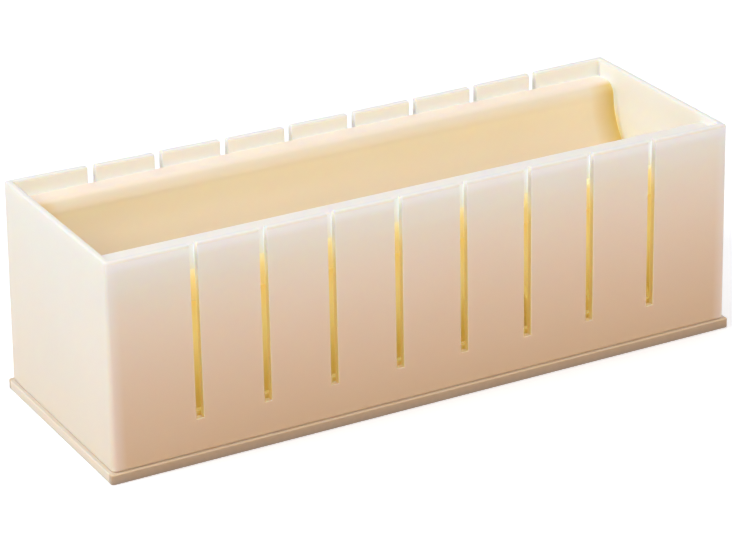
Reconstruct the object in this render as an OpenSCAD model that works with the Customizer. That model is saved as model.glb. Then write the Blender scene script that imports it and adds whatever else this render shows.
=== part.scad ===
// Press for a long sushi roll: a slotted frame that drops over a base plate, and two equal half-round moulds
// that lie back to back inside it. The lower half is turned over; the upper one lies loose and leans a little.
// Millimetres. X runs along the roll, Y to the far side, Z up. The origin is the middle of the foot.

/* [Frame] */
// Length over the rim
frame_l = 220; // [180:1:260]
// Width over the rim
frame_w = 74.7; // [72:0.1:90]
// Height of the frame, from its foot to its rim
frame_h = 68.25; // [60:0.05:80]
// Thickness of the walls
wall_t = 2.35; // [1.6:0.05:3]
// Lean of the walls, which makes the foot larger than the rim, in degrees
draft = 0.73; // [0:0.01:1.2]
// Inner radius of the upright corners, at the rim
corner_r = 0.8; // [0.6:0.1:6]
// Outer radius of the upright corners, at the rim
edge_corner_r = 0.9; // [0.5:0.05:4]
// Rounding of both edges of the rim
rim_r = 0.8; // [0.3:0.05:1.2]
// Bevel on the outer edge of the foot
foot_bevel = 0.4; // [0.1:0.05:1]

/* [Knife slots] */
// Slots in each long wall
slot_count = 8; // [1:1:9]
// Distance from slot to slot
slot_pitch = 23.2; // [18:0.1:25]
// Width of a slot
slot_w = 2.6; // [1.5:0.1:4]
// Height of the slots' floor above the frame's foot
slot_floor = 11; // [4:0.5:30]
// Rounding of the two corners at a slot's mouth
mouth_r = 0.6; // [0.2:0.05:1.5]

/* [Base plate] */
// How far the plate stands out past the frame's foot
base_lip = 1; // [0.4:0.1:4]
// Height of the ledge that carries the frame
ledge_h = 3.3; // [2:0.1:6]
// Height of the deck above the ledge
deck_rise = 3.7; // [1.5:0.1:6]
// Thickness of the deck
deck_t = 2; // [1.2:0.1:3]
// Thickness of the wall round the deck's underside
skirting_t = 2; // [1.2:0.1:4]
// Radius of the plate's upright corners
plate_corner_r = 0.9; // [0.5:0.05:4]
// Rounding of the plate's edges
edge_r = 0.35; // [0.2:0.05:1]
// Ribs across the underside
base_ribs = 7; // [3:2:11]
// Thickness of those ribs
base_rib_t = 1.4; // [0.8:0.1:2.5]

/* [Mould halves] */
// Radius of the half-round channel that shapes the roll
channel_r = 24; // [18:0.5:26]
// Radius of the rounded lips between channel and flanges
lip_r = 4.5; // [3:0.1:6]
// Thickness of the mould's shell
shell_t = 2; // [1.2:0.1:2.6]
// Depth of the skirts that hang from the flanges
skirt_h = 8; // [4:0.5:14]
// Rounding of the flanges' outer edges
flange_r = 0.6; // [0.2:0.05:1]
// Gussets under each flange, between the end ones
gusset_count = 9; // [3:1:12]
// Thickness of a gusset
gusset_t = 1.4; // [0.8:0.1:2.5]
// How far a gusset reaches down the channel's back, below the skirt
gusset_drop = 7; // [2:0.5:12]
// Lean of the loose upper half towards the far side, in degrees
lean = 3.2; // [0:0.1:4]

/* [Fits] */
// Gap between a piece and the face that carries it
seat_gap = 0.15; // [0.1:0.05:0.6]
// Gap round the deck, inside the frame
deck_gap = 0.35; // [0.2:0.05:0.5]
// Gap between the moulds' sides and the frame's rim
side_gap = 0.8; // [0.4:0.05:1.5]
// Gap between the moulds' ends and the frame's rim
end_gap = 1; // [0.3:0.05:2]

/* [Hidden] */
$fn = 96;

// Shared lines. Each block is swept round a rectangle that joins the centres of its corner roundings:
// one for the frame's outside, one for its inside and the deck, and one for the plate's ledge.
spread = frame_h * tan(draft);
outside_x = frame_l / 2 - edge_corner_r;
outside_y = frame_w / 2 - edge_corner_r;
path_x = frame_l / 2 - wall_t - corner_r;
path_y = frame_w / 2 - wall_t - corner_r;
ledge_x = frame_l / 2 + spread + base_lip - plate_corner_r;
ledge_y = frame_w / 2 + spread + base_lip - plate_corner_r;
rim_round = min(rim_r, 0.45 * wall_t, edge_corner_r);
ledge_edge = min(edge_r, 0.9 * plate_corner_r);
foot_z = ledge_h + seat_gap;
deck_z = ledge_h + deck_rise;
deck_r = corner_r + spread - (deck_z - foot_z) * tan(draft) - deck_gap;

// The moulds' stack, from the deck up
mould_l = frame_l - 2 * (wall_t + end_gap);
flange_y = frame_w / 2 - wall_t - side_gap;
lip_y = channel_r + lip_r;
back_r = channel_r + shell_t;
lower_axis_z = deck_z + seat_gap + lip_r;
upper_axis_z = lower_axis_z + 2 * back_r + seat_gap;

eps = 0.01;
ivory = [0.95, 0.91, 0.82];
warm_ivory = [0.93, 0.86, 0.72];

// Sweeps a profile round a closed rectangular path with round corners.
// The profile's x is the distance outwards from the path, its y is the height.
module sweep_round(half_x, half_y) {
    for (turn = [0, 180]) {
        rotate([0, 0, turn]) {
            translate([0, half_y, 0])
                rotate([90, 0, 90]) linear_extrude(2 * half_x, center = true) children();
            rotate([0, 0, 90]) translate([0, half_x, 0])
                rotate([90, 0, 90]) linear_extrude(2 * half_y, center = true) children();
            translate([half_x, half_y, 0]) rotate_extrude(angle = 90) children();
            translate([-half_x, half_y, 0])
                rotate([0, 0, 90]) rotate_extrude(angle = 90) children();
        }
    }
}

// A block: a profile swept round a rectangle, with the middle filled between two heights.
module swept_block(half_x, half_y, low, high) {
    sweep_round(half_x, half_y) children();
    translate([-half_x - eps, -half_y - eps, low])
        cube([2 * (half_x + eps), 2 * (half_y + eps), high - low]);
}

// Edge of the frame's outside: it leans outwards going down, with a bevelled foot and a rounded rim.
module outside_section() {
    shoulder_z = frame_h - rim_round;
    shoulder_out = edge_corner_r + rim_round * tan(draft);
    foot_out = edge_corner_r + spread;
    polygon([
        [0, 0],
        [foot_out - foot_bevel, 0],
        [foot_out - foot_bevel * tan(draft), foot_bevel],
        [shoulder_out, shoulder_z],
        [0, shoulder_z],
    ]);
    intersection() {
        translate([shoulder_out - rim_round, shoulder_z]) circle(r = rim_round);
        square([shoulder_out, frame_h]);
    }
    if (shoulder_out > rim_round)
        translate([0, shoulder_z - eps]) square([shoulder_out - rim_round, rim_round + eps]);
}

// Edge of the space inside the walls: it widens going down, and flares at the rim's inner rounding.
module inside_section() {
    shoulder_z = frame_h - rim_round;
    shoulder_out = corner_r + rim_round * tan(draft);
    polygon([
        [0, -1],
        [corner_r + spread + tan(draft), -1],
        [shoulder_out, shoulder_z],
        [shoulder_out, shoulder_z + eps],
        [0, shoulder_z + eps],
    ]);
    difference() {
        translate([0, shoulder_z]) square([shoulder_out + rim_round, rim_round + 1]);
        translate([shoulder_out + rim_round, shoulder_z]) circle(r = rim_round);
    }
}

// Outline of one knife slot, seen from the side: straight, square at its floor, rounded at its mouth.
module slot_outline() {
    mouth_z = frame_h - mouth_r;
    translate([-slot_w / 2, slot_floor]) square([slot_w, frame_h]);
    difference() {
        translate([-slot_w / 2 - mouth_r, mouth_z]) square([slot_w + 2 * mouth_r, frame_h]);
        for (side = [-1, 1])
            translate([side * (slot_w / 2 + mouth_r), mouth_z]) circle(r = mouth_r);
    }
}

module outer_frame() {
    cut_y = frame_w + 2 * spread + 2;
    color(ivory)
    translate([0, 0, foot_z])
    difference() {
        swept_block(outside_x, outside_y, 0, frame_h) outside_section();
        swept_block(path_x, path_y, -1, frame_h + 1) inside_section();
        for (i = [0 : slot_count - 1])
            translate([(i - (slot_count - 1) / 2) * slot_pitch, 0, 0])
                rotate([90, 0, 0]) linear_extrude(cut_y, center = true) slot_outline();
    }
}

// Edge of the ledge, rounded above and below.
module ledge_section() {
    square([plate_corner_r - ledge_edge, ledge_h]);
    translate([0, ledge_edge]) square([plate_corner_r, ledge_h - 2 * ledge_edge]);
    for (z = [ledge_edge, ledge_h - ledge_edge])
        intersection() {
            translate([plate_corner_r - ledge_edge, z]) circle(r = ledge_edge);
            square([plate_corner_r, ledge_h]);
        }
}

// Edge of the deck, with a bevel on top.
module deck_section() {
    deck_bevel = min(edge_r, deck_r) / 2;
    polygon([
        [0, 0],
        [deck_r, 0],
        [deck_r, deck_z - deck_bevel],
        [deck_r - deck_bevel, deck_z],
        [0, deck_z],
    ]);
}

// The plate's hollow underside, open downwards.
module plate_hollow() {
    hollow_x = path_x + deck_r - skirting_t;
    hollow_y = path_y + deck_r - skirting_t;
    translate([-hollow_x, -hollow_y, -1]) cube([2 * hollow_x, 2 * hollow_y, deck_z - deck_t + 1]);
}

// Ribs under the deck: one along the middle, the others across, all flush with the foot.
module plate_ribs() {
    rib_pitch = 2 * path_x / (base_ribs + 1);
    translate([-path_x, -base_rib_t / 2, 0]) cube([2 * path_x, base_rib_t, deck_z - deck_t + eps]);
    for (i = [1 : base_ribs])
        translate([i * rib_pitch - path_x - base_rib_t / 2, -path_y, 0])
            cube([base_rib_t, 2 * path_y, deck_z - deck_t + eps]);
}

module base_plate() {
    color(ivory) {
        difference() {
            union() {
                swept_block(ledge_x, ledge_y, 0, ledge_h) ledge_section();
                swept_block(path_x, path_y, 0, deck_z) deck_section();
            }
            plate_hollow();
        }
        plate_ribs();
    }
}

// The space between the two lips, above the channel's axis.
module mouth_outline() {
    difference() {
        translate([-lip_y, -eps]) square([2 * lip_y, lip_r + 1]);
        for (side = [-1, 1]) translate([side * lip_y, 0]) circle(r = lip_r);
    }
}

// Section of a mould half, drawn round the channel's axis with its flanges up.
module mould_section() {
    difference() {
        union() {
            intersection() {
                circle(r = back_r);
                translate([-back_r, -back_r]) square([2 * back_r, back_r]);
            }
            translate([-flange_y + flange_r, lip_r - shell_t])
                square([2 * (flange_y - flange_r), shell_t]);
            for (side = [-1, 1]) {
                intersection() {
                    difference() {
                        translate([side * lip_y, 0]) circle(r = lip_r);
                        translate([side * lip_y, 0]) circle(r = lip_r - shell_t);
                    }
                    translate([side * lip_y - (1 + side) / 2 * lip_r, 0]) square([lip_r, lip_r]);
                }
                translate([side * (flange_y - flange_r), lip_r - flange_r]) circle(r = flange_r);
                translate([side * (flange_y - shell_t / 2) - shell_t / 2, lip_r - skirt_h])
                    square([shell_t, skirt_h - flange_r]);
            }
        }
        circle(r = channel_r);
        mouth_outline();
    }
}

// One gusset's outline, on the +Y side: it fills the corner of back, flange and skirt, and tapers down the back.
module gusset_outline() {
    skirt_z = lip_r - skirt_h;
    middle_r = channel_r + shell_t / 2;
    difference() {
        polygon([
            [channel_r / 2, lip_r - shell_t / 2],
            [flange_y - shell_t / 2, lip_r - shell_t / 2],
            [flange_y - shell_t / 2, skirt_z],
            [channel_r / 2, skirt_z - gusset_drop - (lip_y - channel_r / 2) / 2],
        ]);
        circle(r = middle_r);
        square([channel_r + shell_t / 2, lip_r + 1]);
        translate([lip_y, 0]) intersection() {
            translate([-lip_r, 0]) square([lip_r, lip_r]);
            difference() {
                square([4 * lip_r, 4 * lip_r], center = true);
                circle(r = lip_r - shell_t / 2);
            }
        }
    }
}

// A whole mould half, drawn round the channel's axis with its flanges up.
module mould_half() {
    rotate([90, 0, 90]) linear_extrude(mould_l, center = true) mould_section();
    gusset_span = mould_l - gusset_t;
    for (side = [0, 1], i = [0 : gusset_count + 1])
        mirror([0, side, 0])
            translate([gusset_span * (i / (gusset_count + 1) - 0.5), 0, 0])
                rotate([90, 0, 90]) linear_extrude(gusset_t, center = true) gusset_outline();
}

module lower_mould_half() {
    color(warm_ivory)
    translate([0, 0, lower_axis_z]) rotate([180, 0, 0]) mould_half();
}

module upper_mould_half() {
    color(warm_ivory)
    translate([0, 0, upper_axis_z]) rotate([-lean, 0, 0]) mould_half();
}

base_plate();
outer_frame();
lower_mould_half();
upper_mould_half();
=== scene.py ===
# %% [markdown]
# # A press for a long sushi roll
#
# The object is four loose mouldings in one milky ivory plastic: a slotted frame, the base plate
# that it drops over, and two equal half-round moulds that lie back to back inside. The packed CAD
# model gives every size and place. Here each moulding is made again as a smooth mesh with fine
# edges, and dressed in a plastic that lets a little light through.

import math

import bpy
import numpy as np
from mathutils import Matrix, Vector


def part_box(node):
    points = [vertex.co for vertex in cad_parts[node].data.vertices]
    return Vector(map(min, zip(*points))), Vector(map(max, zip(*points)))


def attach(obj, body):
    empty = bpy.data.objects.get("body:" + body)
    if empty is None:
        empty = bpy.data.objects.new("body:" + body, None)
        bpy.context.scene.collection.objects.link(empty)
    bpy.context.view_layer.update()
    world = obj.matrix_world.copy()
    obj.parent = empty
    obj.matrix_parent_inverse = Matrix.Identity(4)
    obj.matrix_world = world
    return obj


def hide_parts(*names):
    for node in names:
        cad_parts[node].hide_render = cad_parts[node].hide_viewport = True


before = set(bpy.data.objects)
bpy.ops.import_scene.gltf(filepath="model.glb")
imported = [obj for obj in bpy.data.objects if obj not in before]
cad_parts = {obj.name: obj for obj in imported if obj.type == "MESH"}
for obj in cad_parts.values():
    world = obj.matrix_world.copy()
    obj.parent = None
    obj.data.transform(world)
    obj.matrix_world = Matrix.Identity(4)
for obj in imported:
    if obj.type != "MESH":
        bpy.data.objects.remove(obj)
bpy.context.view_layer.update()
frame_low, frame_high = (np.array(corner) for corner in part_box("outer_frame"))
lower_low, lower_high = (np.array(corner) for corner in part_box("lower_mould_half"))
base_high = np.array(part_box("base_plate")[1])
print("CAD nodes:", ", ".join(sorted(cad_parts)))

# %% [markdown]
# ## Sizes
#
# The outer sizes are read from the CAD nodes' boxes. What a box can't tell, such as the wall's
# thickness or the radius of an edge, is a named value in metres, the same as in the CAD source.
# Those that several mouldings need come first, and each moulding's own come with it.

# %% Sizes that the mouldings share
mm = 0.001
wall = 2.35 * mm
draft = math.radians(0.73)
inner_corner = 0.8 * mm
outer_corner = 0.9 * mm

frame_height = frame_high[2] - frame_low[2]
spread = frame_height * math.tan(draft)
outside = frame_high[:2] - spread - outer_corner
inside = frame_high[:2] - spread - wall - inner_corner
path_x, path_y = inside
print(f"frame {frame_height / mm:.1f} mm high, each wall {spread / mm:.2f} mm further out at foot")

# %% [markdown]
# ## The camera
#
# The press is seen from its left front corner with a long lens: the far edges are hardly shorter
# than the near ones. Azimuth, height, distance and a small roll place the camera, and the lens
# follows from the picture's width in pixels.

# %% The camera at the photograph's angle
photo_width_px = 732
focal_px = 3183.0
azimuth = math.radians(-28.65)
elevation = math.radians(23.87)
roll = math.radians(0.77)
distance = 1.0215
target = Vector((-0.0027, 0.0, 0.0299))

back = Vector((
    math.sin(azimuth) * math.cos(elevation),
    -math.cos(azimuth) * math.cos(elevation),
    math.sin(elevation),
))
level_right = (-back).cross(Vector((0, 0, 1))).normalized()
level_up = back.cross(level_right)
right = math.cos(roll) * level_right - math.sin(roll) * level_up
up = math.sin(roll) * level_right + math.cos(roll) * level_up
turn = Matrix((right, up, back)).transposed().to_4x4()

camera_data = bpy.data.cameras.new("camera")
camera_data.sensor_width = 36.0
camera_data.lens = focal_px / photo_width_px * camera_data.sensor_width
camera_data.clip_start = 0.05
camera = bpy.data.objects.new("camera", camera_data)
camera.matrix_world = Matrix.Translation(target + back * distance) @ turn
bpy.context.collection.objects.link(camera)
bpy.context.scene.camera = camera
print(f"camera with a {camera_data.lens:.0f} mm lens at {distance:.2f} m")

# %% [markdown]
# ## Shells worked out as arrays
#
# All the mouldings but the plate are shells of an even thickness, so one function serves them. A
# shell is a grid of stations by rungs. Each grid point is a pair of points, one on either face, and
# a mask says which cells are there. Wherever a cell has no neighbour, a strip closes the thickness.
# A knife slot is then nothing but a few cells left out, and its side walls make themselves.

# %% One shell from pairs of points
def shell_faces(present, closed):
    """Index quads of a paired shell.

    Vertex (i, j, s) has the number (i * rungs + j) * 2 + s, where i is the station, j the rung and
    s the face. Each present cell gives one quad on face 0 and the reversed quad on face 1. Each
    side of a present cell with no present neighbour gives one quad that joins the two faces.
    """
    rungs = present.shape[1] + 1
    stations = present.shape[0] + (0 if closed else 1)
    i, j = np.nonzero(present)
    k = (i + 1) % stations
    near, far, far_up, near_up = (i, j), (k, j), (k, j + 1), (i, j + 1)

    def quad(*corners):
        return np.stack([(at[0] * rungs + at[1]) * 2 + side for at, side in corners], axis=-1)

    faces = [
        quad((near, 0), (far, 0), (far_up, 0), (near_up, 0)),
        quad((near, 1), (near_up, 1), (far_up, 1), (far, 1)),
    ]
    ringed = np.pad(present, ((0, 0), (1, 1)))
    before, after = np.roll(present, 1, axis=0), np.roll(present, -1, axis=0)
    if not closed:
        before[0], after[-1] = False, False
    for neighbour, start, end in (
        (ringed[:, :-2], near, far),
        (ringed[:, 2:], far_up, near_up),
        (before, near_up, near),
        (after, far, far_up),
    ):
        edge = ~neighbour[i, j]
        faces.append(quad((start, 0), (start, 1), (end, 1), (end, 0))[edge])
    return np.concatenate(faces)


one_cell = np.ones((1, 1), dtype=bool)
print("a shell of a single cell is a box of", len(shell_faces(one_cell, closed=False)), "faces")


# %% From arrays to an object
def outward(points, faces):
    """Turns a closed shell's quads over if the sum over its faces of a . (b x c) is negative."""
    a, b, c, d = points[faces].transpose(1, 0, 2)
    six_volumes = np.sum(a * np.cross(b, c)) + np.sum(a * np.cross(c, d))
    return faces if six_volumes > 0 else faces[:, ::-1]


def piece_from(name, *parts):
    """One smooth-shaded object from any number of (points, faces) pairs."""
    offsets = np.cumsum([0] + [len(points) for points, _ in parts])
    points = np.concatenate([points for points, _ in parts])
    faces = [
        (face + offset).tolist()
        for (_, some), offset in zip(parts, offsets)
        for face in some
    ]
    mesh = bpy.data.meshes.new(name)
    mesh.from_pydata(points, [], faces)
    mesh.polygons.foreach_set("use_smooth", np.ones(len(faces), dtype=bool))
    piece = bpy.data.objects.new(name, mesh)
    bpy.context.collection.objects.link(piece)
    return piece


# %% [markdown]
# Gussets grow out of their shells, and a Boolean joins them, so that light wandering inside the
# plastic meets no walls that aren't there. It is applied at once, and a small Bevel then breaks the
# sharp edges, as the edges of a mould do.

# %% Joining solids and breaking their edges
broken_edge = 0.15 * mm
sharp_turn = math.radians(35)


def combined(piece, other, operation):
    """Joins another solid to the piece, or cuts it away, with an exact Boolean applied at once."""
    boolean = piece.modifiers.new(operation.lower(), "BOOLEAN")
    boolean.operation = operation
    boolean.solver = "EXACT"
    boolean.object = other
    bpy.context.view_layer.update()
    result = piece.evaluated_get(bpy.context.evaluated_depsgraph_get())
    piece.data = bpy.data.meshes.new_from_object(result)
    piece.modifiers.clear()
    bpy.data.objects.remove(other)
    return piece


def break_edges(piece, width):
    """A live Bevel of this width on every edge that turns by more than the sharp turn."""
    bevel = piece.modifiers.new("broken edges", "BEVEL")
    bevel.limit_method = "ANGLE"
    bevel.angle_limit = sharp_turn
    bevel.width = width
    bevel.segments = 2
    bevel.harden_normals = True


print(f"edges are broken over {broken_edge / mm:.2f} mm")

# %% [markdown]
# ## The frame
#
# On the real press the frame is a long box with neither floor nor lid. Its walls lean out a little
# towards the foot, for the mould to let go of it, and eight knife slots run down both long sides.
# It is swept here round rectangles: a column stands at each stop along the way and carries the
# wall's section outwards. At a corner the direction turns about one point, so the corner's radius
# grows towards the foot as on a drafted moulding. The outer and the inner face have rectangles of
# their own, as both have nearly sharp corners.

# %% The frame's own sizes
rim_edge = 0.8 * mm
foot_bevel = 0.4 * mm
slot_count = 8
slot_pitch = 23.2 * mm
slot_width = 2.6 * mm
slot_floor = 11.0 * mm
mouth_edge = 0.6 * mm
frame_broken_edge = 0.14 * mm

slot_middles = (np.arange(slot_count) - (slot_count - 1) / 2) * slot_pitch
slot_edges = np.stack([slot_middles - slot_width / 2, slot_middles + slot_width / 2], axis=1)
tab_edges = np.concatenate([[-path_x], slot_edges.ravel(), [path_x]]).reshape(-1, 2)
print(f"{slot_count} slots and {len(tab_edges)} tabs a side")

# %% Columns round a rectangle
corner_steps = 8


def ring_columns(along_x, along_y, reach):
    """Point and outward direction of each column, anticlockwise from the near side's left end.

    On a side the direction stays and the point moves. At a corner the point stays at (reach x,
    reach y) and the direction turns by 90 degrees in even steps. The stops serve both sides of a
    pair, so they are symmetric.
    """
    points, directions = [], []
    for quarter, along in enumerate([along_x, along_y] * 2):
        start = (quarter - 1) * math.pi / 2
        out = np.array([math.cos(start), math.sin(start)])
        ahead = np.array([-math.sin(start), math.cos(start)])
        sideways, forward = (reach[1], reach[0]) if quarter % 2 == 0 else (reach[0], reach[1])
        points.append(out * sideways + ahead * along[:, None])
        directions.append(np.tile(out, (len(along), 1)))
        turned = start + np.linspace(0, math.pi / 2, corner_steps + 1)
        points.append(np.tile(out * sideways + ahead * forward, (corner_steps + 1, 1)))
        directions.append(np.stack([np.cos(turned), np.sin(turned)], axis=1))
    return np.concatenate(points), np.concatenate(directions)


tab_steps = np.array([0.0, 0.05, 0.12, 0.25, 0.4, 0.5, 0.6, 0.75, 0.88, 0.95, 1.0])
tab_widths = tab_edges[:, 1:] - tab_edges[:, :1]
side_stops = (tab_edges[:, :1] + tab_widths * tab_steps).ravel()[1:-1]
end_stops = np.linspace(-path_y, path_y, 17)[1:-1]
outer_columns, outs = ring_columns(side_stops, end_stops, outside)
inner_columns, _ = ring_columns(side_stops, end_stops, inside)
print(f"{len(outs)} columns")

# %% The wall's section, in pairs of points
shoulder = frame_height - rim_edge
under_slots = 5 * mm
slot_rungs = np.linspace(slot_floor, shoulder, 9)[1:]
plain_heights = np.concatenate([[foot_bevel, under_slots, slot_floor], slot_rungs])
sweep = np.linspace(0, math.pi / 2, 7)[1:]
outer_rim = outer_corner + rim_edge * math.tan(draft) - rim_edge
inner_rim = inner_corner + rim_edge * math.tan(draft) + rim_edge

rung_heights = np.concatenate([[0.0], plain_heights, shoulder + rim_edge * np.sin(sweep)])
rung_outer = np.concatenate([
    [outer_corner + spread - foot_bevel],
    outer_corner + (frame_height - plain_heights) * math.tan(draft),
    outer_rim + rim_edge * np.cos(sweep),
])
rung_inner = np.concatenate([
    [inner_corner + spread],
    inner_corner + (frame_height - plain_heights) * math.tan(draft),
    inner_rim - rim_edge * np.cos(sweep),
])
print(f"{len(rung_heights)} rungs from foot to rim")

# %% [markdown]
# Real tabs never line up quite as a drawing does. Each one cools with a will of its own, and the
# long far side has sunk a little at its middle. A formula for that is added above the slots'
# floors: it lets each tab stand a tenth or two of a millimetre out of line and takes up to a
# millimetre off the far rim.

# %% How the tabs stand and the far rim sinks
tab_lean = np.array([0.02, -0.10, 0.06, -0.05, 0.11, -0.03, 0.08, -0.09, 0.0]) * mm
tab_twist = np.array([0.0, 0.09, -0.06, 0.08, -0.10, 0.05, -0.08, 0.06, 0.0]) * mm
tab_step = np.array([0.0, 0.08, -0.05, 0.06, 0.0, -0.07, 0.05, -0.04, 0.0]) * mm
side_bow = 0.12 * mm
far_sink = 0.9 * mm
nudge = 1e-6


def warp(x):
    """How far the rim moves out at x along a long side, and how far the far rim sinks there.

    With t = 1 - (x / end)^2, both are 0 at the ends. Out is the tab's lean plus its twist times the
    place in the tab, less bow * t, and the sinking is sink * t^1.5 plus the tab's own step.
    """
    tab = np.clip(np.searchsorted(tab_edges[:, 0], x + nudge) - 1, 0, slot_count)
    in_tab = (x - tab_edges[tab].mean(axis=1)) / (slot_pitch / 2)
    along = 1 - (x / path_x) ** 2
    fade = np.minimum(1, 3 * along)
    sway = (tab_lean[tab] + tab_twist[tab] * in_tab) * fade - side_bow * along
    return sway, far_sink * along**1.5 + tab_step[tab] * fade


print(f"the far rim sinks {warp(slot_middles)[1].max() / mm:.2f} mm at most between its slots")

# %% The frame's shell
hair = 1e-9


def frame_shell():
    """Point (i, j, s) = column i of face s + outward direction i times rung j's distance.

    Near a slot's mouth, a column on the slot's edge moves away from it by r - sqrt(r^2 - t^2),
    where t is how far the point is above the mouth's rounding centre.
    """
    columns = np.stack([outer_columns, inner_columns], axis=1)
    distances = np.stack([rung_outer, rung_inner], axis=1)
    flat = columns[:, None, :, :] + outs[:, None, None, :] * distances[None, :, :, None]
    heights = np.broadcast_to(rung_heights[None, :, None], flat.shape[:3]).copy()

    x, y = inner_columns[:, 0], inner_columns[:, 1]
    long_side = (np.abs(np.abs(y) - path_y) < hair) & (np.abs(x) < path_x - hair)
    at_edge = np.abs(x[:, None] - slot_edges.ravel()[None, :]) < hair
    edge_kind = np.where(at_edge, np.tile([-1.0, 1.0], slot_count), 0.0).sum(axis=1)
    rise = np.clip(rung_heights - (frame_height - mouth_edge), 0, mouth_edge)
    round_off = mouth_edge - np.sqrt(np.maximum(mouth_edge**2 - rise**2, 0))
    flat[..., 0] += (edge_kind * long_side)[:, None, None] * round_off[None, :, None]

    above = np.clip((rung_heights - slot_floor) / (frame_height - slot_floor), 0, 1)
    sway, sink = warp(x)
    far_side = long_side & (y > 0)
    flat[..., 1] += (np.sign(y) * sway * long_side)[:, None, None] * above[None, :, None] ** 1.5
    heights -= (sink * far_side)[:, None, None] * above[None, :, None]

    present = np.ones((len(outs), len(rung_heights) - 1), dtype=bool)
    slot_start = long_side & (edge_kind != 0)
    in_slot = slot_start & np.roll(long_side, -1) & (np.roll(edge_kind, -1) != 0)
    present[np.ix_(in_slot, rung_heights[:-1] >= slot_floor - hair)] = False
    points = np.concatenate([flat, (frame_low[2] + heights)[..., None]], axis=-1).reshape(-1, 3)
    return points, outward(points, shell_faces(present, closed=True))


frame_piece = piece_from("slotted_frame", frame_shell())
break_edges(frame_piece, frame_broken_edge)
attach(frame_piece, "frame")
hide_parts("outer_frame")
print(f"frame: {len(frame_piece.data.polygons)} faces")

# %% [markdown]
# ## The mould halves
#
# A mould half is one section carried along its whole length: a half-round channel, a round lip on
# either side, a flat flange, and a skirt turned down at its edge. Behind the flanges, thin gussets
# keep the channel round. The section is drawn once, in pairs of points from the channel's bottom
# outwards, and mirrored.

# %% The moulds' own sizes
channel = 24.0 * mm
lip = 4.5 * mm
shell = 2.0 * mm
skirt_depth = 8.0 * mm
flange_edge = 0.6 * mm
inner_edge = 0.2 * mm
lean = math.radians(3.2)
seat_gap = 0.15 * mm

flange_reach = lower_high[1]
mould_length = lower_high[0] - lower_low[0]
lower_axis = lower_low[2] + lip
upper_axis = lower_axis + 2 * (channel + shell) + seat_gap
print(f"the lower channel's axis is {lower_axis / mm:.1f} mm up, the upper's {upper_axis / mm:.1f}")


# %% The section, drawn round the channel's axis
def arc(centre_y, centre_z, radius, start, end, steps):
    """Points of a circular arc: centre + radius (cos a, sin a), with a in degrees."""
    angle = np.radians(np.linspace(start, end, steps))
    return np.stack([centre_y + radius * np.cos(angle), centre_z + radius * np.sin(angle)], axis=1)


def line(y0, z0, y1, z1, steps):
    """Evenly spaced points of a straight line."""
    return np.linspace([y0, z0], [y1, z1], steps)


lip_middle = channel + lip
skirt_foot = lip - skirt_depth
under_flange = lip - shell
in_skirt = flange_reach - shell
face_side = np.concatenate([
    arc(0, 0, channel, -90, 0, 33),
    arc(lip_middle, 0, lip, 180, 90, 13)[1:],
    line(lip_middle, lip, flange_reach - flange_edge, lip, 4)[1:],
    arc(flange_reach - flange_edge, lip - flange_edge, flange_edge, 90, 0, 6)[1:],
    line(flange_reach, lip - flange_edge, flange_reach, skirt_foot, 4)[1:],
])
back_side = np.concatenate([
    arc(0, 0, channel + shell, -90, 0, 33),
    arc(lip_middle, 0, under_flange, 180, 90, 13)[1:],
    line(lip_middle, under_flange, in_skirt - inner_edge, under_flange, 4)[1:],
    arc(in_skirt - inner_edge, under_flange - inner_edge, inner_edge, 90, 0, 6)[1:],
    line(in_skirt, under_flange - inner_edge, in_skirt, skirt_foot, 4)[1:],
])
half_section = np.stack([face_side, back_side], axis=1)
mirrored = half_section[:0:-1] * [-1, 1]
section = np.concatenate([mirrored, half_section])
print(f"{len(section)} pairs of points round the section")


# %% Carrying an outline of pairs along x
def carried(outline, stations):
    """Point (i, j, s) = outline pair j's point s at station x_i, as one closed shell."""
    grid = np.broadcast_to(outline, (len(stations),) + outline.shape)
    along = np.broadcast_to(stations[:, None, None, None], grid.shape[:3] + (1,))
    points = np.concatenate([along, grid], axis=-1).reshape(-1, 3)
    present = np.ones((len(stations) - 1, len(outline) - 1), dtype=bool)
    return points, outward(points, shell_faces(present, closed=False))


mould_band = carried(section, np.linspace(-mould_length / 2, mould_length / 2, 37))
print(f"{len(mould_band[1])} faces in a mould half before its gussets")

# %% Gussets behind the flanges
gusset_count = 9
gusset_thickness = 1.4 * mm
both_end_margins = 0.6 * mm
tip_turn = 18
root_width = 0.5 * mm
tip_width = np.array([0.3, -0.6]) * mm


def gusset_solids():
    """Each gusset is a wedge under a flange, in the corner of back, flange and skirt.

    Its outline is a polygon of two curves with the same number of points, so it is a paired shell
    itself: along the middle of the channel's shell on one side, and from the flange's middle down
    to the back on the other.
    """
    middle = channel + shell / 2
    reach, top = flange_reach - shell / 2, lip - shell / 2
    tip_angle = math.degrees(math.asin((lip_middle - channel / 2) / 2 / middle)) + tip_turn
    inner = np.concatenate([
        arc(lip_middle, 0, top, 90, 180, 9),
        arc(0, 0, middle, 0, -tip_angle, 13)[1:],
    ])
    outer = np.concatenate([
        line(lip_middle + root_width, top, reach, top, 5),
        line(reach, top, reach, skirt_foot, 5)[1:],
        line(reach, skirt_foot, *(inner[-1] + tip_width), 13)[1:],
    ])
    outline = np.stack([inner, outer], axis=1)
    span = mould_length - gusset_thickness - both_end_margins
    for side in (-1, 1):
        for place in np.linspace(-span / 2, span / 2, gusset_count + 2):
            ends = np.array([place - gusset_thickness / 2, place + gusset_thickness / 2])
            yield carried(outline * [side, 1], ends)


gussets = list(gusset_solids())
print(f"{len(gussets)} gussets to a mould half, {gusset_thickness / mm:.1f} mm thick")


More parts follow.
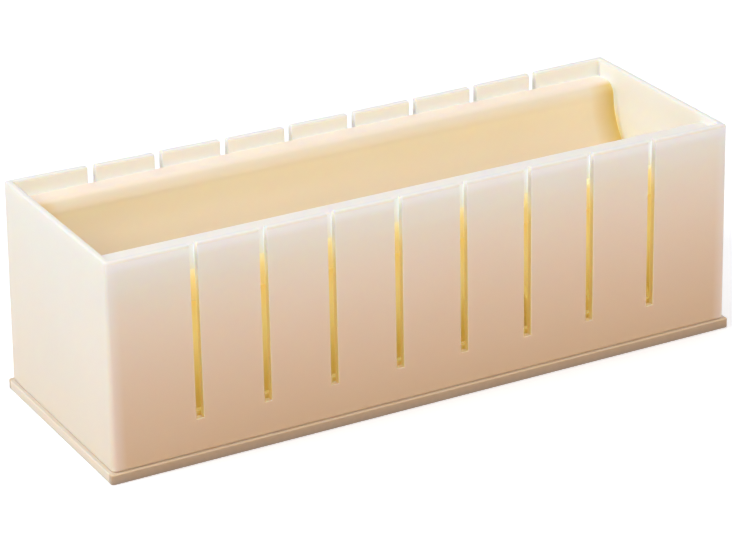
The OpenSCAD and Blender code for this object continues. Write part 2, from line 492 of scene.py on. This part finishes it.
# %% The two mould halves, each set in its place
def mould_half(name, turn, height):
    """The band joined with its gussets, turned about the channel's axis, and raised."""
    half = combined(piece_from(name, mould_band), piece_from(name + "_gussets", *gussets), "UNION")
    half.data.transform(Matrix.Translation((0, 0, height)) @ Matrix.Rotation(turn, 4, "X"))
    break_edges(half, broken_edge)
    return half


upper_half = mould_half("upper_mould", -lean, upper_axis)
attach(upper_half, "upper_half")
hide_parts("upper_mould_half")
lower_half = mould_half("lower_mould", math.pi, lower_axis)
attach(lower_half, "lower_half")
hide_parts("lower_mould_half")
print(f"mould halves: {len(upper_half.data.polygons)} and {len(lower_half.data.polygons)} faces")

# %% [markdown]
# ## The base plate
#
# The frame drops over a low deck and comes down on the plate's ledge, which stands about a
# millimetre proud all round. The plate is hollow underneath, with a skirting all round and a few
# ribs. Its edge is one section swept round the same rectangle, two flat sheets close the middle,
# and boxes are then cut out from below.

# %% The plate's edge and its two sheets
ledge_height = 3.3 * mm
plate_corner = 0.9 * mm
plate_edge = 0.35 * mm
deck_gap = 0.35 * mm
deck_z = base_high[2]
deck_reach = inner_corner + spread - (deck_z - frame_low[2]) * math.tan(draft) - deck_gap
ledge = base_high[:2] - plate_corner


def plate_solid():
    """Point (i, j) = column i of row j's rectangle + outward direction i times row j's distance.

    The rows run from the deck's edge over the ledge to the foot. The first and the last row are
    closed by one flat polygon each, which are the deck and the underside.
    """
    bevel = plate_edge / 2
    deck_rows = np.array([
        [0.0, deck_z],
        [deck_reach - bevel, deck_z],
        [deck_reach, deck_z - bevel],
        [deck_reach, ledge_height],
    ])
    ledge_rows = np.concatenate([
        arc(plate_corner - plate_edge, ledge_height - plate_edge, plate_edge, 90, 0, 6),
        arc(plate_corner - plate_edge, plate_edge, plate_edge, 0, -90, 6),
    ])
    stops = np.linspace(-path_x, path_x, 37)[1:-1], np.linspace(-path_y, path_y, 13)[1:-1]
    grid = []
    for rows, reach in ((deck_rows, inside), (ledge_rows, ledge)):
        places, directions = ring_columns(*stops, reach)
        flat = places[:, None, :] + directions[:, None, :] * rows[None, :, :1]
        heights = np.broadcast_to(rows[None, :, 1:], flat.shape[:2] + (1,))
        grid.append(np.concatenate([flat, heights], axis=-1))
    points = np.concatenate(grid, axis=1)
    count, width = points.shape[:2]
    i, j = (index.ravel() for index in np.indices((count, width - 1)))
    k = (i + 1) % count
    corners = [i * width + j, i * width + j + 1, k * width + j + 1, k * width + j]
    loop = np.arange(count) * width
    return points.reshape(-1, 3), list(np.stack(corners, axis=-1)) + [loop, loop[::-1] + width - 1]


plate = piece_from("base", plate_solid())
print(f"plate: {len(plate.data.polygons)} faces before its hollows, deck {deck_z / mm:.1f} mm up")

# %% The hollows under the deck
deck_thickness = 2.0 * mm
skirting = 2.0 * mm
rib_count = 7
rib_thickness = 1.4 * mm
below_foot = -1 * mm


def box_solid(low, high):
    """A box as (points, faces): eight corners and six outward quads."""
    low, high = np.asarray(low, float), np.asarray(high, float)
    corners = np.array([[(n >> axis) & 1 for axis in range(3)] for n in range(8)])
    faces = [[0, 2, 3, 1], [4, 5, 7, 6], [0, 1, 5, 4], [2, 6, 7, 3], [0, 4, 6, 2], [1, 3, 7, 5]]
    return low + corners * (high - low), np.array(faces)


def pockets():
    """Two rows of boxes with a rib's thickness between neighbours."""
    pitch = 2 * path_x / (rib_count + 1)
    half = rib_thickness / 2
    reach_x, reach_y = path_x + deck_reach - skirting, path_y + deck_reach - skirting
    lines = np.arange(rib_count + 2) * pitch - path_x
    starts, ends = lines[:-1] + half, lines[1:] - half
    starts[0], ends[-1] = -reach_x, reach_x
    for start, end in zip(starts, ends):
        for low_y, high_y in ((-reach_y, -half), (half, reach_y)):
            yield box_solid((start, low_y, below_foot), (end, high_y, deck_z - deck_thickness))


combined(plate, piece_from("pockets", *pockets()), "DIFFERENCE")
break_edges(plate, broken_edge)
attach(plate, "base")
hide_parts("base_plate")
print(f"plate: {len(plate.data.polygons)} faces, {len(plate.data.vertices)} points")

# %% [markdown]
# ## Ivory plastic
#
# The plastic is a milky ivory one: light goes in, wanders and comes out yellower. Subsurface
# scattering with a longer path for red than for blue does this for one wall. Inside the closed
# press, though, light has crossed many walls on its way, and a render stops following it long
# before that. The Ambient Occlusion node knows how shut in a place is, so it stands for that light:
# a shut-in place glows a little in honey, and the moulds' backs turn honey too. Both are gone when
# the pieces are taken apart.
#
# What is painted besides is what the eye reads as a real moulding: faint clouds where the melt
# flowed, a satin that changes a little from place to place, and a fine grain. Where a wall is
# lighter or darker under the lamps, as at the rim or on the ledge, that painted light or shade is
# an ivory of its own here.

# %% Shader maths written as sums
class Value:
    """A shader socket that ordinary arithmetic works on: each +, - or * adds its Math node."""

    def __init__(self, tree, socket):
        self.tree, self.socket = tree, socket

    def node(self, kind, settings=None, sockets=None, output=0):
        """Adds any node: first its settings, then its sockets, from numbers, colours or Values."""
        node = self.tree.nodes.new(kind)
        for name, setting in (settings or {}).items():
            setattr(node, name, setting)
        for name, source in (sockets or {}).items():
            if isinstance(source, Value):
                self.tree.links.new(source.socket, node.inputs[name])
            else:
                node.inputs[name].default_value = source
        return Value(self.tree, node.outputs[output])

    def math(self, operation, *values):
        return self.node("ShaderNodeMath", {"operation": operation}, dict(enumerate(values)))

    def __add__(self, other):
        return self.math("ADD", self, other)

    def __radd__(self, other):
        return self.math("ADD", other, self)

    def __sub__(self, other):
        return self.math("SUBTRACT", self, other)

    def __rsub__(self, other):
        return self.math("SUBTRACT", other, self)

    def __mul__(self, other):
        return self.math("MULTIPLY", self, other)

    def __abs__(self):
        return self.math("ABSOLUTE", self)

    def part(self, axis):
        """One number of a vector: axis 0, 1 or 2 for x, y or z."""
        return self.node("ShaderNodeSeparateXYZ", {}, {0: self}, output=axis)

    def between(self, low, high):
        """0 below low, 1 above high, and a straight ramp between."""
        ramp = {0: self, 1: low, 2: high, 3: 0.0, 4: 1.0}
        return self.node("ShaderNodeMapRange", {"clamp": True}, ramp)

    def mix(self, first, second, blend="MIX"):
        """Mixes two colours by this value, or with ADD adds so much of the second to the first."""
        settings = {"data_type": "RGBA", "blend_type": blend}
        return self.node("ShaderNodeMix", settings, {0: self, 6: first, 7: second}, output=2)


print("a Value knows", ", ".join(name for name in vars(Value) if not name.startswith("__")))

# %% How shut in a place is, and its glow
sky_reach = 50 * mm
shut_limit = 0.66
rim_relief = 0.14
shut_ramp = 0.28
low_glow = (0.090, 0.049, 0.007, 1.0)
high_glow = (0.300, 0.234, 0.125, 1.0)
top_glow = (0.340, 0.440, 0.560, 1.0)
no_glow = (0.0, 0.0, 0.0, 1.0)


def how_shut_in(place):
    """0 where enough of the sky is open, 1 where walls within reach hide most of it.

    It is a ramp over the hidden share, from the limit up. Near the rim the limit is lower, as
    the sky is close there.
    """
    open_sky = place.node(
        "ShaderNodeAmbientOcclusion", {"samples": 6}, {"Distance": sky_reach}, output=1
    )
    limit = shut_limit - place.part(2).between(56 * mm, 62 * mm) * rim_relief
    return (1 - open_sky).between(limit, limit + shut_ramp)


def honey_glow(place, amount):
    """Glow by amount: deep honey near the foot, brighter above, and pale under the rim."""
    height = place.part(2)
    colour = height.between(20 * mm, 52 * mm).mix(low_glow, high_glow)
    return amount.mix(no_glow, height.between(54 * mm, 64 * mm).mix(colour, top_glow))


print(f"a place is shut in by what lies within {sky_reach / mm:.0f} mm of it")

# %% Flow clouds, satin and grain, shared by every moulding
scatter_depth = 1.5 * mm
scatter_by_colour = (1.0, 0.8, 0.5)


def moulded_plastic(name, colour_of, glow_of, roughness):
    """A satin plastic.

    colour_of(place, facing, clouds, shut_in) gives its Base Color, and glow_of(place, facing,
    shut_in) its Emission Color. Place and facing are the point and the normal, clouds lie about 0,
    and shut_in is 1 where the place is shut in.
    """
    material = bpy.data.materials.new(name)
    material.use_nodes = True
    tree = material.node_tree
    tree.nodes.clear()
    shader = tree.nodes.new("ShaderNodeBsdfPrincipled")
    surface = tree.nodes.new("ShaderNodeOutputMaterial")
    tree.links.new(shader.outputs[0], surface.inputs["Surface"])

    coordinates = tree.nodes.new("ShaderNodeTexCoord")
    place = Value(tree, coordinates.outputs["Object"])
    facing = Value(tree, coordinates.outputs["Normal"])

    def noise(scale, detail, rough=0.5):
        sockets = {"Vector": place, "Scale": scale, "Detail": detail, "Roughness": rough}
        return place.node("ShaderNodeTexNoise", {}, sockets)

    clouds, satin = noise(28.0, 3.0), noise(160.0, 4.0, rough=0.6)
    waves, grain = noise(90.0, 1.0), noise(2600.0, 2.0)
    shut_in = how_shut_in(place)
    colour = colour_of(place, facing, clouds - 0.5, shut_in)
    glow = glow_of(place, facing, shut_in)
    dull = roughness + (satin - 0.5) * 0.16 + (grain - 0.5) * 0.05
    relief = {"Strength": 0.25, "Distance": 0.2 * mm, "Height": waves * 0.75 + grain * 0.02}
    bump = place.node("ShaderNodeBump", {}, relief)
    tree.links.new(colour.socket, shader.inputs["Base Color"])
    tree.links.new(glow.socket, shader.inputs["Emission Color"])
    tree.links.new(dull.socket, shader.inputs["Roughness"])
    tree.links.new(bump.socket, shader.inputs["Normal"])
    shader.inputs["Emission Strength"].default_value = 1.0
    shader.inputs["IOR"].default_value = 1.49
    shader.inputs["Subsurface Weight"].default_value = 1.0
    shader.inputs["Subsurface Radius"].default_value = scatter_by_colour
    shader.inputs["Subsurface Scale"].default_value = scatter_depth
    return material


print(f"light wanders about {scatter_depth / mm:.1f} mm inside the plastic")

# %% [markdown]
# The frame's colour holds painted light and shade: palest at its rim, warmer and darker towards
# its foot, darker still on the long sides, greyer on the rim, and yellow in the slots. Through its
# inner faces and slots a painted honey glow shows, and outside, just under the rim and near the
# standing corners, a painted cool glow stands for light that has travelled down inside the wall.

# %% The frame's plastic
# Painted light and shade: the frame runs from a lit pale ivory at the rim to a warmer, shaded ivory
# at the foot.
pale_ivory = (0.950, 0.920, 0.870, 1.0)
foot_shade_ivory = (0.935, 0.800, 0.665, 1.0)
shaded_ivory = (0.760, 0.570, 0.385, 1.0)
# Painted light: the yellow of light that comes through into the slots' walls.
slot_light_ivory = (0.930, 0.790, 0.440, 1.0)
tab_ivory = (0.955, 0.930, 0.850, 1.0)
inner_ivory = (0.890, 0.880, 0.835, 1.0)
# Painted shade: greyer ivories for the rim's top and for its outer edge.
shaded_rim_ivory = (0.850, 0.865, 0.865, 1.0)
shaded_end_rim_ivory = (0.870, 0.865, 0.830, 1.0)
shaded_edge_ivory = (0.850, 0.850, 0.830, 1.0)
rim_glow = (0.050, 0.092, 0.180, 1.0)


def on_long_side(place, facing):
    """1 on the outer faces of the long sides, where y and the normal's y have the same sign."""
    return (facing.part(1) * place.part(1)).between(0.024, 0.034)


def frame_colour(place, facing, clouds, shut_in):
    """Painted light and shade: pale at the rim and warmer towards the foot.

    The long sides get painted shade there, though less near a standing corner. The slots' walls get
    a yellower painted light, the tabs' inner faces are paler than the end walls', and the rim and
    its edge are greyer with painted shade.
    """
    height, end = place.part(2), abs(place.part(0))
    # Painted light near the rim and painted shade towards the foot, with some random cloudiness.
    foot_shade_and_clouds = (1 - height.between(4 * mm, 70 * mm) + clouds * 0.35).between(0.0, 1.0)
    at_corner = end.between(106 * mm, 110.5 * mm)
    # Painted shade: the long sides' outer faces darken towards the foot, less near a standing
    # corner.
    shade = (1 - height.between(4 * mm, 62 * mm)) * (1 - at_corner * 0.6)
    long_shade = shade * on_long_side(place, facing) * 0.9
    outer = long_shade.mix(foot_shade_and_clouds.mix(pale_ivory, foot_shade_ivory), shaded_ivory)

    inward = 0 - facing.part(0) * place.part(0) - facing.part(1) * place.part(1)
    inner = abs(facing.part(1)).between(0.4, 0.6).mix(inner_ivory, tab_ivory)
    # Painted light: the slots' walls turn yellow below the rim.
    slot_wall = abs(facing.part(0)).between(0.75, 0.98) * (1 - end.between(100 * mm, 104 * mm))
    slot_depth = slot_wall * (1 - height.between(55 * mm, 64 * mm))
    below_rim = slot_depth.mix(inward.between(0.02, 0.03).mix(outer, inner), slot_light_ivory)

    # Painted shade: the rim's top and its outer edge are greyer.
    rim = abs(place.part(1)).between(33.5 * mm, 34.5 * mm).mix(shaded_end_rim_ivory, shaded_rim_ivory)
    edge = facing.part(2).between(0.15, 0.40) * height.between(69 * mm, 70.2 * mm)
    top = facing.part(2).between(0.60, 0.85) * height.between(68 * mm, 70 * mm)
    return top.mix(edge.mix(below_rim, shaded_edge_ivory), rim)


def frame_glow(place, facing, shut_in):
    """Honey on shut-in inner faces and slots' walls, and a cool light outside the long sides.

    The cool light lies just under the rim, though not on it, and near the standing corners.
    """
    height, end = place.part(2), abs(place.part(0))
    inner = shut_in * height.between(8 * mm, 12 * mm) * (1 - height.between(56 * mm, 64 * mm))
    long_side = on_long_side(place, facing)
    slow, quick = height.between(60 * mm, 70 * mm), height.between(67.5 * mm, 70 * mm)
    under_rim = (slow * 0.4 + quick * 0.6) * long_side * (1 - height.between(70.4 * mm, 71 * mm))
    at_corner = end.between(106 * mm, 110 * mm) * long_side * 0.5
    return (under_rim + at_corner).mix(honey_glow(place, inner * 0.8), rim_glow, "ADD")


frame_plastic = moulded_plastic("frame_plastic", frame_colour, frame_glow, 0.38)
print(f"{frame_plastic.name}: {len(frame_plastic.node_tree.nodes)} nodes")

# %% The base plate's plastic
# Painted shade on the plate's ledge: darker on top, more so at its side and towards its foot.
shaded_ledge_top = (0.700, 0.580, 0.440, 1.0)
shaded_end_ledge_top = (0.700, 0.650, 0.580, 1.0)
shaded_ledge_side = (0.540, 0.415, 0.295, 1.0)
shaded_ledge_foot = (0.450, 0.360, 0.280, 1.0)


def base_colour(place, facing, clouds, shut_in):
    """The frame's colour, with painted shade on the ledge.

    The ledge is darker on top, more so at its side and foot.
    """
    upward = facing.part(2).between(0.3, 0.9)
    at_end = abs(place.part(0)).between(110 * mm, 111.5 * mm)
    along = abs(place.part(1)).between(37 * mm, 38 * mm) * 0.9
    plain_colour = frame_colour(place, facing, clouds, shut_in)
    # Painted shade on the end ledge's top, and on the long ledge below.
    end_ledge_shade = (upward * at_end).mix(plain_colour, shaded_end_ledge_top)
    side = place.part(2).between(0.4 * mm, 2 * mm).mix(shaded_ledge_foot, shaded_ledge_side)
    return along.mix(end_ledge_shade, upward.mix(side, shaded_ledge_top))


def base_glow(place, facing, shut_in):
    """Only the deck glows, and the ledge outside the frame doesn't."""
    deck = facing.part(2).between(0.5, 0.9) * place.part(2).between(5.5 * mm, 6.5 * mm)
    return honey_glow(place, shut_in * deck * 0.5)


base_plastic = moulded_plastic("base_plastic", base_colour, base_glow, 0.42)
print(f"{base_plastic.name}: {len(base_plastic.node_tree.nodes)} nodes")

# %% [markdown]
# The moulds lie deep in the press, so painted shade makes their lip and channel warmer and darker
# than the flange, and amber where the channel ends at the end walls. The two halves are one
# moulding in two poses. One function paints both, in the section's own frame, and only the near
# flange, which has painted light to make it paler, goes by its place.

# %% The moulds' plastic
flange_ivory = (0.925, 0.828, 0.728, 1.0)
# Painted light: the near flange is paler.
lit_near_flange_ivory = (0.920, 0.905, 0.885, 1.0)
# Painted shade: the lip and the channel are warmer and darker than the flange, darkest deep in the
# channel.
shaded_lip_ivory = (0.815, 0.750, 0.600, 1.0)
shaded_channel_flank = (0.910, 0.845, 0.635, 1.0)
shaded_channel_ivory = (0.880, 0.765, 0.575, 1.0)
# Painted shade: amber where the channel meets the end walls.
end_shade_amber = (0.780, 0.600, 0.200, 1.0)
back_ivory = (0.900, 0.840, 0.700, 1.0)
# Painted light: the honey of light that has crossed many walls, on the moulds' backs where shut in.
honey = (0.870, 0.780, 0.380, 1.0)


def mould_plastic(name, turn, height):
    """Pale flanges, a channel in warm painted shade, amber painted shade at its ends, and a back
    that turns honey with painted light where shut in.

    A Mapping node turns the place back into the section's own frame, with the channel's axis at
    its origin.
    """
    angle = -turn
    shift = (0.0, height * math.sin(angle), -height * math.cos(angle))
    end = mould_length / 2

    def in_section(place):
        mapping = {"Vector": place, "Location": shift, "Rotation": (angle, 0.0, 0.0)}
        own = place.node("ShaderNodeMapping", {}, mapping)
        across, up = own.part(1), own.part(2)
        radius = place.math("SQRT", across * across + up * up)
        return across, up, radius.between(channel + 0.4 * mm, channel + 1.4 * mm)

    def colour(place, facing, clouds, shut_in):
        across, up, past_channel = in_section(place)
        on_lip = 1 - abs(across).between(30 * mm, 32.5 * mm)
        below_flange = (1 - up.between(3.4 * mm, 4.45 * mm)) * on_lip
        # Painted shade below the flange, with some random cloudiness.
        lip_shade_and_clouds = (below_flange * 0.9 + clouds * 0.3).between(0.0, 1.0)
        # Painted shade: amber towards the channel's ends.
        at_end = below_flange * abs(place.part(0)).between(end - 9 * mm, end - 1 * mm)
        # Painted shade: the channel darkens from its flanks towards its bottom.
        flank = up.between(-16 * mm, -2 * mm).mix(shaded_channel_ivory, shaded_channel_flank)
        warm = up.between(-1 * mm, 3 * mm).mix(flank, shaded_lip_ivory)
        # Painted light on the near flange.
        near_flange_light = (0 - place.part(1)).between(24 * mm, 28 * mm)
        flange = near_flange_light.mix(flange_ivory, lit_near_flange_ivory)
        face = at_end.mix(lip_shade_and_clouds.mix(flange, warm), end_shade_amber)
        # Painted light: the back turns honey where shut in.
        on_back = past_channel * (1 - up.between(-3.5 * mm, 3.5 * mm))
        return on_back.mix(face, shut_in.mix(back_ivory, honey))

    def glow(place, facing, shut_in):
        past_channel = in_section(place)[2]
        return honey_glow(place, shut_in * past_channel)

    return moulded_plastic(name, colour, glow, 0.34)


upper_plastic = mould_plastic("upper_mould_plastic", -lean, upper_axis)
lower_plastic = mould_plastic("lower_mould_plastic", math.pi, lower_axis)
for piece, material in (
    (frame_piece, frame_plastic),
    (upper_half, upper_plastic),
    (lower_half, lower_plastic),
    (plate, base_plastic),
):
    piece.data.materials.clear()
    piece.data.materials.append(material)
    print(f"{piece.name} wears {material.name}")

# %% [markdown]
# ## Floor and light
#
# The press stands on plain white. The floor shows white to the camera, and to what mirrors it, but
# is a mid grey to the light that it throws back, as the sides would else be lit from below. A large
# soft window lamp stands high on the left, a weaker one hangs above, a warm card fills the near
# side from the front, and a plain pale sky fills the rest.

# %% The floor
seen_floor = (0.86, 0.89, 0.94, 1.0)
bounced_floor = (0.45, 0.40, 0.35, 1.0)
white = (1.0, 1.0, 1.0, 1.0)
floor_lift = 0.38
floor_mesh = bpy.data.meshes.new("floor")
floor_mesh.from_pydata([(-3, -3, 0), (3, -3, 0), (3, 3, 0), (-3, 3, 0)], [], [(0, 1, 2, 3)])
floor = bpy.data.objects.new("floor", floor_mesh)
bpy.context.collection.objects.link(floor)

floor_material = bpy.data.materials.new("white_floor")
floor_material.use_nodes = True
tree = floor_material.node_tree
tree.nodes.clear()
rays = tree.nodes.new("ShaderNodeLightPath")
seen = Value(tree, rays.outputs["Is Camera Ray"])
shown = seen.math("MAXIMUM", seen, Value(tree, rays.outputs["Is Glossy Ray"]))
matt = seen.node("ShaderNodeBsdfDiffuse", {}, {"Color": shown.mix(bounced_floor, seen_floor)})
lift = seen.node("ShaderNodeEmission", {}, {"Color": white, "Strength": shown * floor_lift})
both = seen.node("ShaderNodeAddShader", {}, {0: matt, 1: lift})
surface = tree.nodes.new("ShaderNodeOutputMaterial")
tree.links.new(both.socket, surface.inputs["Surface"])
floor_mesh.materials.append(floor_material)
print(f"floor {floor.dimensions.x:.0f} m wide")

# %% Lamps and sky
aim = Vector((0, 0, 0.03))
sky_strength = 0.44


def soft_lamp(name, place, size, power, colour):
    """A square area lamp at a place, turned to the middle of the press."""
    lamp = bpy.data.lights.new(name, "AREA")
    lamp.shape = "SQUARE"
    lamp.size = size
    lamp.energy = power
    lamp.color = colour
    stand = bpy.data.objects.new(name, lamp)
    turned = (aim - Vector(place)).to_track_quat("-Z", "Y").to_matrix().to_4x4()
    stand.matrix_world = Matrix.Translation(place) @ turned
    bpy.context.collection.objects.link(stand)
    print(f"{name}: {power:.1f} W")


soft_lamp("window_lamp", (-1.5, 0.1, 1.3), 1.1, 21.0, (1.0, 1.0, 0.985))
soft_lamp("top_lamp", (0.1, 0.2, 1.6), 1.2, 4.5, (1.0, 1.0, 0.99))
soft_lamp("warm_card", (0.3, -1.6, 0.5), 1.2, 10.3, (1.0, 0.78, 0.61))
world = bpy.data.worlds.new("pale_sky")
bpy.context.scene.world = world
world.use_nodes = True
background = world.node_tree.nodes["Background"]
background.inputs["Color"].default_value = white
background.inputs["Strength"].default_value = sky_strength
bpy.context.scene.view_settings.view_transform = "Standard"
print("and a pale sky")

# %% [markdown]
# ## Finish
#
# The dressed press must fill the same box as the CAD model, so both boxes are kept.
